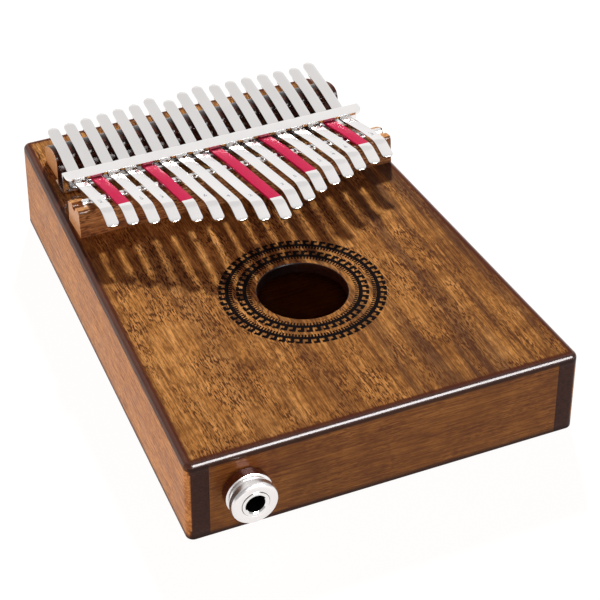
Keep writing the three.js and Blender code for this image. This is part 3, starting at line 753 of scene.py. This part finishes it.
def make_rosette(node, inlay_and_shade, hooks, hook_columns, stem, foot, tooth_columns):
    """A black band with hooks on its outside and teeth on its inside.

    The ring is a grid of columns round it and rows out from its middle. A row
    says which columns of each repeat are black."""
    low, high = deck_box(node)
    outer = (high.x - low.x) / 2
    width = outer * BAND_SHARE[node]
    radii = [outer - width + width * share for share in ROW_EDGES]
    columns = hooks * hook_columns
    teeth = (tooth_columns, range(tooth_columns - 2))
    rows = [
        teeth,
        teeth,
        (1, range(1)),
        (hook_columns, range(hook_columns - stem, hook_columns)),
        (hook_columns, range(hook_columns - foot, hook_columns)),
    ]
    work = bmesh.new()
    corners = {}

    def corner(row, column):
        key = (row, column % columns)
        if key not in corners:
            angle = 2 * math.pi * key[1] / columns
            x, y = radii[row] * math.cos(angle), radii[row] * math.sin(angle)
            corners[key] = work.verts.new((x, y, -INLAY_DEPTH))
        return corners[key]

    for row, (repeat, black) in enumerate(rows):
        for column in range(columns):
            if column % repeat in black:
                work.faces.new([corner(row, column), corner(row, column + 1),
                                corner(row + 1, column + 1), corner(row + 1, column)])
    raised = bmesh.ops.extrude_face_region(work, geom=work.faces[:])
    lifted = [item for item in raised["geom"] if isinstance(item, bmesh.types.BMVert)]
    bmesh.ops.translate(work, verts=lifted, vec=(0, 0, INLAY_DEPTH + PROUD))
    piece = new_piece(f"{node}_pattern", [], [])
    work.to_mesh(piece.data)
    work.free()
    piece.data.transform(Matrix.Translation((0, hole_y(), 0)))
    face_outwards(piece)
    stand_for(on_deck(piece), node, inlay_and_shade)


# ---- saddle, bridge, rod and bracket --------------------------------------

def make_saddle(material):
    low, high = deck_box("rear_saddle")
    crest = (SADDLE_CREST_Y, high.z)
    shoulder = (high.y, 0.62 * high.z)
    front = (low.y, 0.56 * high.z)
    outline = [(low.y, 0.0), (high.y, 0.0), shoulder]
    outline += curve_to(shoulder, (crest[0] + 5 * MM, 0.97 * high.z), crest)
    outline += curve_to(crest, (low.y, high.z), front)
    piece = on_deck(bar("rear_saddle_fine", outline, low.x, high.x))
    stand_for(finish_surface(piece, 0.25 * MM), "rear_saddle", material)


def rod_middle():
    """The rod's middle as (y, height), and its radius."""
    low, high = deck_box("bridge_rod")
    return (low.y + high.y) / 2, (low.z + high.z) / 2, (high.z - low.z) / 2


def make_bridge(material):
    low, high = deck_box("front_bridge")
    rod_y, rod_z, rod_radius = rod_middle()
    groove = rod_radius + 0.2 * MM
    outline = [(low.y, 0.0), (high.y, 0.0), (high.y, 0.77 * high.z)]
    outline += [(rod_y + groove, rod_z + 0.2 * MM)]
    outline += arc((rod_y, rod_z), groove, 0, -180, 14)
    outline += [(rod_y - groove, rod_z + 0.2 * MM)]
    nose = (low.y + 2.4 * MM, high.z)
    outline += [nose]
    outline += curve_to(nose, (low.y + 1.3 * MM, high.z), (low.y + 1.0 * MM, high.z - 1.4 * MM), 6)
    piece = on_deck(bar("front_bridge_fine", outline, low.x, high.x))
    stand_for(finish_surface(piece, 0.2 * MM), "front_bridge", material)


def make_rod(material):
    low, high = deck_box("bridge_rod")
    rod_y, rod_z, radius = rod_middle()
    length = high.x - low.x
    bevel = 0.4 * MM
    flat = radius - bevel
    profile = [(0, 0), (flat, 0), *arc((flat, bevel), bevel, -60, 0, 4),
               *arc((flat, length - bevel), bevel, 0, 60, 4), (flat, length), (0, length)]
    piece = lathe("bridge_rod_fine", profile, 48)
    middle = Matrix.Translation((low.x, rod_y, rod_z))
    piece.data.transform(middle @ Matrix.Rotation(math.pi / 2, 4, "Y"))
    stand_for(finish_surface(on_deck(piece), angle=50), "bridge_rod", material)


def make_bracket(material):
    flange_low, flange_high = deck_box("bracket_flange")
    foot_low, foot_high = deck_box("bracket_foot")
    low = Vector((flange_low.x, flange_low.y, foot_low.z))
    high = Vector((flange_high.x, foot_high.y, flange_high.z))
    web = flange_high.y
    inner = BRACKET_BEND - SHEET
    foot = low.z + SHEET
    upper = (web - BRACKET_BEND, high.z - BRACKET_BEND)
    lower = (web - SHEET + BRACKET_BEND, low.z + BRACKET_BEND)
    outline = [(low.y, high.z - SHEET), *arc(upper, inner, 90, 0, 6)]
    outline += arc(lower, BRACKET_BEND, 180, 270, 8)
    outline += [(high.y, low.z), (high.y, foot), *arc(lower, inner, 270, 180, 6)]
    outline += [*arc(upper, BRACKET_BEND, 0, 90, 8), (low.y, high.z)]
    piece = bar("pressure_bracket_fine", outline, low.x, high.x)
    cutters = [corner_cutter(low, high, side) for side in (-1, 1)]
    for number in range(1, TINE_COUNT + 1):
        middle = tine_x(number, web)
        cutters.append(block(
            f"slot_{number}",
            (middle - SLOT_WIDTH / 2, web - 2 * SHEET, SLOT_BOTTOM),
            (middle + SLOT_WIDTH / 2, web + SHEET, high.z - 1.05 * BRACKET_BEND),
        ))
    cut(piece, *cutters)
    stand_for(finish_surface(on_deck(piece), 0.1 * MM, 2), "bracket_flange", material,
              also=("bracket_web", "bracket_foot"))


def corner_cutter(low, high, side):
    """Takes the square front corner off the bracket's top flange."""
    end = high.x if side > 0 else low.x
    centre = (end - side * BRACKET_CORNER, low.y + BRACKET_CORNER)
    rounding = arc(centre, BRACKET_CORNER, -90, 0 if side > 0 else -180, 10)
    past_end, past_front = end + side * MM, low.y - MM
    outline = rounding + [(past_end, centre[1]), (past_end, past_front), (centre[0], past_front)]
    count = len(outline)
    bottom, top = high.z - 2 * MM, high.z + MM
    vertices = [(x, y, z) for z in (bottom, top) for x, y in outline]
    faces = [tuple(reversed(range(count))), tuple(range(count, 2 * count))]
    faces += wall_faces(count)
    return new_piece("corner", vertices, faces)


def make_screw(node, material):
    """A pan-head screw with a crossed recess."""
    low, high = deck_box(node)
    x, y = (low.x + high.x) / 2, (low.y + high.y) / 2
    head = high.z - 1.75 * MM
    dome = arc((0, head - 1.2 * MM), 3.0 * MM, 40, 90, 8)
    profile = [(0, low.z), (0.4 * SCREW_RADIUS, low.z + 0.6 * MM), (SCREW_RADIUS, low.z + 2.4 * MM),
               (SCREW_RADIUS, head), (SCREW_HEAD_RADIUS, head), *dome]
    profile[-1] = (0, profile[-1][1])
    piece = lathe(f"{node}_fine", profile, 48)
    depth = head + 0.9 * MM
    long, short = 1.4 * MM, 0.3 * MM
    arms = [(long, short), (short, long)]
    cut(piece, *[block("recess", (-a, -b, depth), (a, b, depth + 3 * MM)) for a, b in arms])
    piece.data.transform(Matrix.Translation((x, y, 0)))
    stand_for(finish_surface(on_deck(piece)), node, material)


# ---- tines ----------------------------------------------------------------

def tine_x(number, y):
    """The tines spread a little towards the player, and their tails lie a little to the left."""
    rod_y = rod_middle()[0]
    saddle_low, _ = deck_box("rear_saddle")
    part = (y - rod_y) / (saddle_low.y - rod_y)
    pitch = FRONT_PITCH + (REAR_PITCH - FRONT_PITCH) * part
    return SEAT_X + TAIL_SHIFT * part + (number - MIDDLE_TINE) * pitch


def smooth_line(points, steps):
    """A line through the points, with so many steps in all (a Catmull-Rom curve)."""
    line = []
    for step in range(steps + 1):
        place = (len(points) - 1) * step / steps
        index = min(int(place), len(points) - 2)
        t = place - index
        p0 = points[max(index - 1, 0)]
        p1, p2 = points[index], points[index + 1]
        p3 = points[min(index + 2, len(points) - 1)]
        line.append(tuple(
            0.5 * (2 * p1[k] + (p2[k] - p0[k]) * t
                   + (2 * p0[k] - 5 * p1[k] + 4 * p2[k] - p3[k]) * t ** 2
                   + (3 * p1[k] - p0[k] - 3 * p2[k] + p3[k]) * t ** 3)
            for k in (0, 1)
        ))
    return line


def tine_line(node):
    """A tine's underside from tail to tip as (y, height), and where its tip starts to bend."""
    low, high = deck_box(node)
    _, rod_high = deck_box("bridge_rod")
    flange_low, flange_high = deck_box("bracket_flange")
    _, saddle_high = deck_box("rear_saddle")
    rod_y = rod_middle()[0]
    on_rod = rod_high.z + CONTACT_GAP
    on_saddle = saddle_high.z + SADDLE_EASE
    web = flange_high.y
    flange = flange_low.y
    tip_y = low.y + TINE_THICKNESS * math.sin(TIP_DROOP)
    bend_y = tip_y + TIP_LENGTH
    bend_height = on_rod + TONGUE_SLOPE * (rod_y - bend_y)
    line = smooth_line([
        (high.y, on_saddle + REAR_SLOPE * (high.y - SADDLE_CREST_Y)),
        (SADDLE_CREST_Y, on_saddle),
        (web + 4 * MM, TINE_DIP + 1.15 * MM),
        (web - 1.5 * MM, TINE_DIP),
        (flange + 0.5 * MM, TINE_DIP + 0.25 * MM),
        ((flange + rod_y) / 2, (TINE_DIP + on_rod) / 2 + 0.15 * MM),
        (rod_y, on_rod),
        ((rod_y + bend_y) / 2, (on_rod + bend_height) / 2),
        (bend_y, bend_height),
    ], 72)
    start = math.atan(TONGUE_SLOPE)
    steps = 12
    stride = (start + TIP_DROOP) * TIP_BEND_RADIUS / steps
    y, height = line[-1]
    for i in range(steps):
        angle = start - (start + TIP_DROOP) * (i + 0.5) / steps
        y, height = y - stride * math.cos(angle), height + stride * math.sin(angle)
        line.append((y, height))
    rest = (y - tip_y) / math.cos(TIP_DROOP)
    for i in range(1, steps + 1):
        reach = rest * i / steps
        line.append((y - reach * math.cos(TIP_DROOP), height - reach * math.sin(TIP_DROOP)))
    return line, bend_y


def along_line(line, distances):
    """Points at given distances along a line."""
    lengths = [0.0]
    for first, second in zip(line, line[1:]):
        lengths.append(lengths[-1] + math.dist(first, second))
    points, index = [], 0
    for distance in distances:
        while index < len(line) - 2 and lengths[index + 1] < distance:
            index += 1
        part = (distance - lengths[index]) / (lengths[index + 1] - lengths[index])
        points.append(tuple(line[index][k] + part * (line[index + 1][k] - line[index][k]) for k in (0, 1)))
    return points


def length_of(line):
    return sum(math.dist(a, b) for a, b in zip(line, line[1:]))


def half_breadth(from_tail, from_tip):
    """Half the tine's width: a round tail, and a tip with rounded corners."""
    half = TINE_WIDTH / 2
    least = 0.12 * MM
    if from_tail < half:
        return max(least, math.sqrt(max(0.0, half ** 2 - (half - from_tail) ** 2)))
    if from_tip < TIP_CORNER:
        return half - TIP_CORNER + math.sqrt(max(0.0, TIP_CORNER ** 2 - (TIP_CORNER - from_tip) ** 2))
    return half


def stations(total, paint_end):
    """Distances along a tine: close together where its outline curves."""
    half = TINE_WIDTH / 2
    tail = [half * (1 - math.cos(math.pi / 2 * i / 12)) for i in range(13)]
    tip = [total - TIP_CORNER * (1 - math.sin(math.pi / 2 * i / 8)) for i in range(9)]
    straight = total - TIP_CORNER - half
    count = 90
    middle = [half + straight * i / count for i in range(1, count)]
    middle = [d for d in middle if abs(d - paint_end) > 0.4 * MM] + [paint_end]
    return sorted(tail + middle + tip)


def section(half, height):
    """A rectangle with rounded corners, as (across, up) points, anticlockwise."""
    radius = min(TINE_EDGE, 0.9 * half, 0.45 * height)
    points = []
    for across, up, start in ((half, height, 0), (-half, height, 90), (-half, 0, 180), (half, 0, 270)):
        centre = (across - math.copysign(radius, across), up - (radius if up else -radius))
        points += arc(centre, radius, start, start + 90, 3)
    return points


def make_tine(number, steel, paint, mark):
    node = f"tine_{number:02d}"
    line, bend_y = tine_line(node)
    total = length_of(line)
    bend_index = next(i for i, point in enumerate(line) if point[0] <= bend_y)
    paint_end = length_of(line[:bend_index + 1])
    distances = stations(total, paint_end)
    points = along_line(line, distances)
    vertices, faces, painted = [], [], []
    for i, (distance, point) in enumerate(zip(distances, points)):
        behind, ahead = points[max(i - 1, 0)], points[min(i + 1, len(points) - 1)]
        run = math.dist(behind, ahead)
        along = ((ahead[0] - behind[0]) / run, (ahead[1] - behind[1]) / run)
        middle = tine_x(number, point[0])
        for across, up in section(half_breadth(distance, total - distance), TINE_THICKNESS):
            vertices.append((middle + across, point[0] + up * along[1], point[1] - up * along[0]))
    count = len(vertices) // len(points)
    faces.append(tuple(range(count)))
    painted.append(False)
    _, flange_high = deck_box("bracket_flange")
    is_painted = number in PAINTED_TINES
    for i in range(len(points) - 1):
        in_paint = distances[i + 1] <= paint_end + 1e-9 and points[i][0] < flange_high.y
        for j in range(count):
            k = (j + 1) % count
            faces.append((i * count + j, (i + 1) * count + j, (i + 1) * count + k, i * count + k))
            painted.append(is_painted and in_paint)
    last = (len(points) - 1) * count
    faces.append(tuple(reversed(range(last, last + count))))
    painted.append(False)
    piece = new_piece(f"{node}_fine", vertices, faces)
    for polygon, coloured in zip(piece.data.polygons, painted):
        polygon.material_index = 1 if coloured else 0
    if not is_painted:
        add_mark(piece, number, line, bend_y)
    on_deck(piece)
    face_outwards(piece)
    piece.data.shade_smooth()
    piece.data.set_sharp_from_angle(angle=math.radians(50))
    for material in (steel, paint, mark):
        piece.data.materials.append(material)
    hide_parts(node)
    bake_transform(piece)


def scale_step(number):
    """Which note of the scale a tine plays, and how many octaves up."""
    side = number - MIDDLE_TINE
    degree = -2 * side - 1 if side < 0 else 2 * side
    return degree % SCALE_LENGTH + 1, degree // SCALE_LENGTH


def add_mark(piece, number, line, bend_y):
    """Stamps the tine's note number, with a dot above it for each octave up."""
    step, octave = scale_step(number)
    y = bend_y + 3.4 * MM
    after = next(i for i, point in enumerate(line) if point[0] <= y)
    (y0, z0), (y1, z1) = line[after - 1], line[after]
    height = z0 + (y - y0) / (y1 - y0) * (z1 - z0)
    tilt = math.atan2(z0 - z1, y0 - y1)
    top = height + TINE_THICKNESS / math.cos(tilt)
    place = Matrix.Translation((tine_x(number, y), y, top)) @ Matrix.Rotation(tilt, 4, "X")
    curve = bpy.data.curves.new("mark", "FONT")
    curve.body = str(step)
    curve.size = MARK_SIZE
    curve.align_x = "CENTER"
    curve.align_y = "CENTER"
    curve.extrude = 0.015 * MM
    curve.resolution_u = 3
    holder = bpy.data.objects.new("mark", curve)
    bpy.context.scene.collection.objects.link(holder)
    bpy.context.view_layer.update()
    glyph = bpy.data.meshes.new_from_object(holder.evaluated_get(bpy.context.evaluated_depsgraph_get()))
    bpy.data.objects.remove(holder)
    work = bmesh.new()
    work.from_mesh(glyph)
    bmesh.ops.remove_doubles(work, verts=work.verts, dist=1e-7)
    for dot in range(octave):
        spot = Matrix.Translation(((dot - (octave - 1) / 2) * 0.8 * MM, 0.72 * MARK_SIZE, 0))
        bmesh.ops.create_cone(work, cap_ends=True, segments=14, radius1=0.2 * MM, radius2=0.2 * MM,
                              depth=0.03 * MM, matrix=spot)
    bmesh.ops.transform(work, matrix=place, verts=work.verts)
    for face in work.faces:
        face.material_index = 2
    work.to_mesh(glyph)
    work.clear()
    work.from_mesh(piece.data)
    work.from_mesh(glyph)
    work.to_mesh(piece.data)
    work.free()


# ---- jack -----------------------------------------------------------------

def into_front(piece):
    """Turns a profile's height into distance into the box from the front panel's face."""
    low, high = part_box("jack_barrel")
    place = Matrix.Translation(((low.x + high.x) / 2, -HALF_LENGTH, (low.z + high.z) / 2))
    piece.data.transform(place @ Matrix.Rotation(-math.pi / 2, 4, "X"))
    return piece


def smoke_flange(button):
    """Paints the side of the rear flange a dark warm nickel: a painted reflection of the wood panel behind
    it.
    """
    for face in button.data.polygons:
        if -HALF_LENGTH - face.center.y < FLANGE_DEPTH and abs(face.normal.y) < 0.5:
            face.material_index = 1


def darken_bore(barrel):
    """The bore is painted black inside: painted shade in place of the dark metal."""
    low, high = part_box("jack_barrel")
    axis_x, axis_z = (low[0] + high[0]) / 2, (low[2] + high[2]) / 2
    for face in barrel.data.polygons:
        if math.hypot(face.center.x - axis_x, face.center.z - axis_z) < JACK_BORE + 0.1 * MM:
            face.material_index = 1


def make_jack(material, button_material, flange_reflection_material, bore_shade_material):
    lip = 0.25 * MM
    inner = BARREL_RADIUS + JACK_CLEARANCE
    front = -JACK_REACH
    rear_flange = -FLANGE_DEPTH
    crown, fillet = 1.3 * MM, 0.5 * MM
    groove = BUTTON_WAIST + fillet
    button = [
        (inner, front + 0.3 * MM),
        (inner + 0.4 * MM, front + 0.12 * MM),
        (BUTTON_RADIUS - crown, front + 0.1 * MM),
        *arc((BUTTON_RADIUS - crown, front + 1.4 * MM), crown, -90, 0, 10),
        (BUTTON_RADIUS, front + 3.0 * MM),
        (BUTTON_RADIUS - 0.2 * MM, front + 3.2 * MM),
        *arc((groove, front + 4.0 * MM), fillet, -90, -180, 5),
        *arc((groove, rear_flange - 0.9 * MM), fillet, 180, 90, 5),
        (BUTTON_RADIUS - lip, rear_flange - 0.2 * MM),
        (BUTTON_RADIUS, rear_flange),
        (BUTTON_RADIUS, -0.6 * MM),
        (BUTTON_RADIUS - lip, -0.2 * MM),
        (inner, -0.2 * MM),
    ]
    piece = into_front(lathe("jack_strap_button_fine", button, 128, closed=True))
    stand_for(finish_surface(piece, angle=28), "jack_strap_button", button_material, flange_reflection_material)
    smoke_flange(piece)

    chamfer = 0.4 * MM
    barrel = [
        (JACK_BORE + chamfer, front),
        (BARREL_RADIUS - 0.2 * MM, front),
        *arc((BARREL_RADIUS - 0.2 * MM, front + 0.2 * MM), 0.2 * MM, -60, 0, 3),
        (BARREL_RADIUS, BARREL_INSIDE),
        (JACK_BORE, BARREL_INSIDE),
        (JACK_BORE, front + chamfer),
    ]
    piece = into_front(lathe("jack_barrel_fine", barrel, 96, closed=True))
    stand_for(finish_surface(piece, angle=28), "jack_barrel", material, bore_shade_material)
    darken_bore(piece)


# ---- putting it together --------------------------------------------------

def dress_nodes(material, *nodes):
    """Gives CAD nodes whose shape is right a better material."""
    for node in nodes:
        data = frame["nodes"][node].data
        data.materials.clear()
        data.materials.append(material)


bpy.context.scene.view_settings.view_transform = "Standard"
make_camera()
make_world()
make_floor()
area_light("rear_key", 155.8, 38, 1.6, (0.1, 0.1), 47, glossy=False)
area_light("left_fill", -80, 15, 1.5, (0.9, 0.9), 13, glossy=False, tint=WARM_FILL)
area_light("front_fill", 20, 15, 1.6, (1.0, 0.8), 3.5, glossy=False, tint=WARM_FILL)
area_light("hole_fill", -23, 38, 1.5, (0.25, 0.25), 1.7, glossy=False, tint=(1.0, 0.5, 0.38))
area_light("edge_strip", 19, 34, 1.5, (0.8, 0.85), 80, diffuse=False)

top_wood = wood("golden_top", [(0.14, 0.053, 0.013), (0.37, 0.165, 0.042), (0.60, 0.300, 0.096)],
                (0.055, 0.016, 0.005), 1, 1.0, streaks=(0.060, 0.028, 0.017), edge=(0.055, 0.012, 0.005),
                coat_ior=1.35)
# The side boards are different boards from the end panels. Their wood is also painted lighter, standing in
# for the stronger light on the left side.
body_long = wood("side_wood", [(0.31, 0.126, 0.034), (0.49, 0.228, 0.071), (0.63, 0.325, 0.118)],
                 (0.16, 0.045, 0.014), 1, 0.12, end=(0.045, 0.019, 0.014), pore_depth=0.45, edge_lines=True)
body_cross = wood("panel_wood", [(0.13, 0.048, 0.008), (0.215, 0.082, 0.014), (0.30, 0.126, 0.026)],
                  (0.09, 0.024, 0.007), 0, 0.24, pore_depth=0.55,
                  corner_ends=(0.045, 0.019, 0.014), edge_lines=True)
# This dark wood is a stain on the hole's wall and a painted contact shadow on the back plate's bottom
# rounding.
dark_edge = wood("stain_and_painted_shadow", [(0.012, 0.004, 0.003), (0.022, 0.007, 0.004), (0.034, 0.011, 0.006)],
                 (0.008, 0.003, 0.002), 1, 0.15)
bridge_wood = wood("bridge_wood", [(0.20, 0.070, 0.018), (0.48, 0.215, 0.066), (0.70, 0.37, 0.14)],
                   (0.12, 0.042, 0.013), 0, 0.35, end=(0.55, 0.31, 0.15), figure=0.4)
saddle_wood = wood("saddle_wood", [(0.03, 0.009, 0.005), (0.065, 0.018, 0.009), (0.11, 0.033, 0.014)],
                   (0.015, 0.005, 0.003), 0, 0.4, end=(0.52, 0.29, 0.13))
brace_wood = wood("brace_wood", [(0.50, 0.32, 0.16), (0.58, 0.38, 0.20), (0.66, 0.45, 0.25)],
                  (0.34, 0.19, 0.09), 0, 0.0, end=(0.5, 0.32, 0.17), pore_depth=0.4)
# The black inlay also paints the shade inside the jack's bore.
inlay_and_shade = smooth_coat("black_inlay_and_painted_bore_shade", (0.004, 0.003, 0.003), 0.5, shine=0.02)
steel = metal("spring_steel", (0.84, 0.82, 0.81), 0.11, brushed=1)
paint = smooth_coat("crimson_paint", (0.37, 0.004, 0.045), 0.4, shine=0.08)
stamp = smooth_coat("stamped_mark", (0.16, 0.17, 0.20), 0.5)
nickel = metal("polished_nickel", (0.86, 0.84, 0.83), 0.12)
bright_nickel = metal("turned_nickel", (0.84, 0.81, 0.80), 0.24)
# Dark warm nickel: a painted reflection of the wood on the flange's side.
nickel_with_painted_reflection = metal("nickel_with_painted_reflection", (0.34, 0.21, 0.20), 0.12)
screw_steel = metal("zinc_plate", (0.66, 0.66, 0.68), 0.2)
brass = metal("brass", (0.76, 0.55, 0.22), 0.25)
nylon = smooth_coat("black_nylon", (0.02, 0.02, 0.02), 0.55)
jacket = smooth_coat("lead_jacket", (0.03, 0.03, 0.032), 0.5)

make_box(top_wood, body_long, body_cross, dark_edge)
make_rosette("rosette_inner", inlay_and_shade, 48, 9, 4, 7, 4)
make_rosette("rosette_outer", inlay_and_shade, 60, 12, 5, 9, 5)
make_saddle(saddle_wood)
make_bridge(bridge_wood)
make_rod(nickel)
make_bracket(nickel)
for index in (1, 2, 3):
    make_screw(f"bracket_screw_{index}", screw_steel)
for tine_number in range(1, TINE_COUNT + 1):
    make_tine(tine_number, steel, paint, stamp)
make_jack(nickel, bright_nickel, nickel_with_painted_reflection, inlay_and_shade)
dress_nodes(brace_wood, "brace_rear", "brace_middle", "brace_front")
dress_nodes(screw_steel, "jack_washer", "jack_nut")
dress_nodes(brass, "jack_lug_tip", "jack_lug_sleeve", "piezo_disc")
dress_nodes(nylon, "jack_insulator")
dress_nodes(jacket, "pickup_lead")
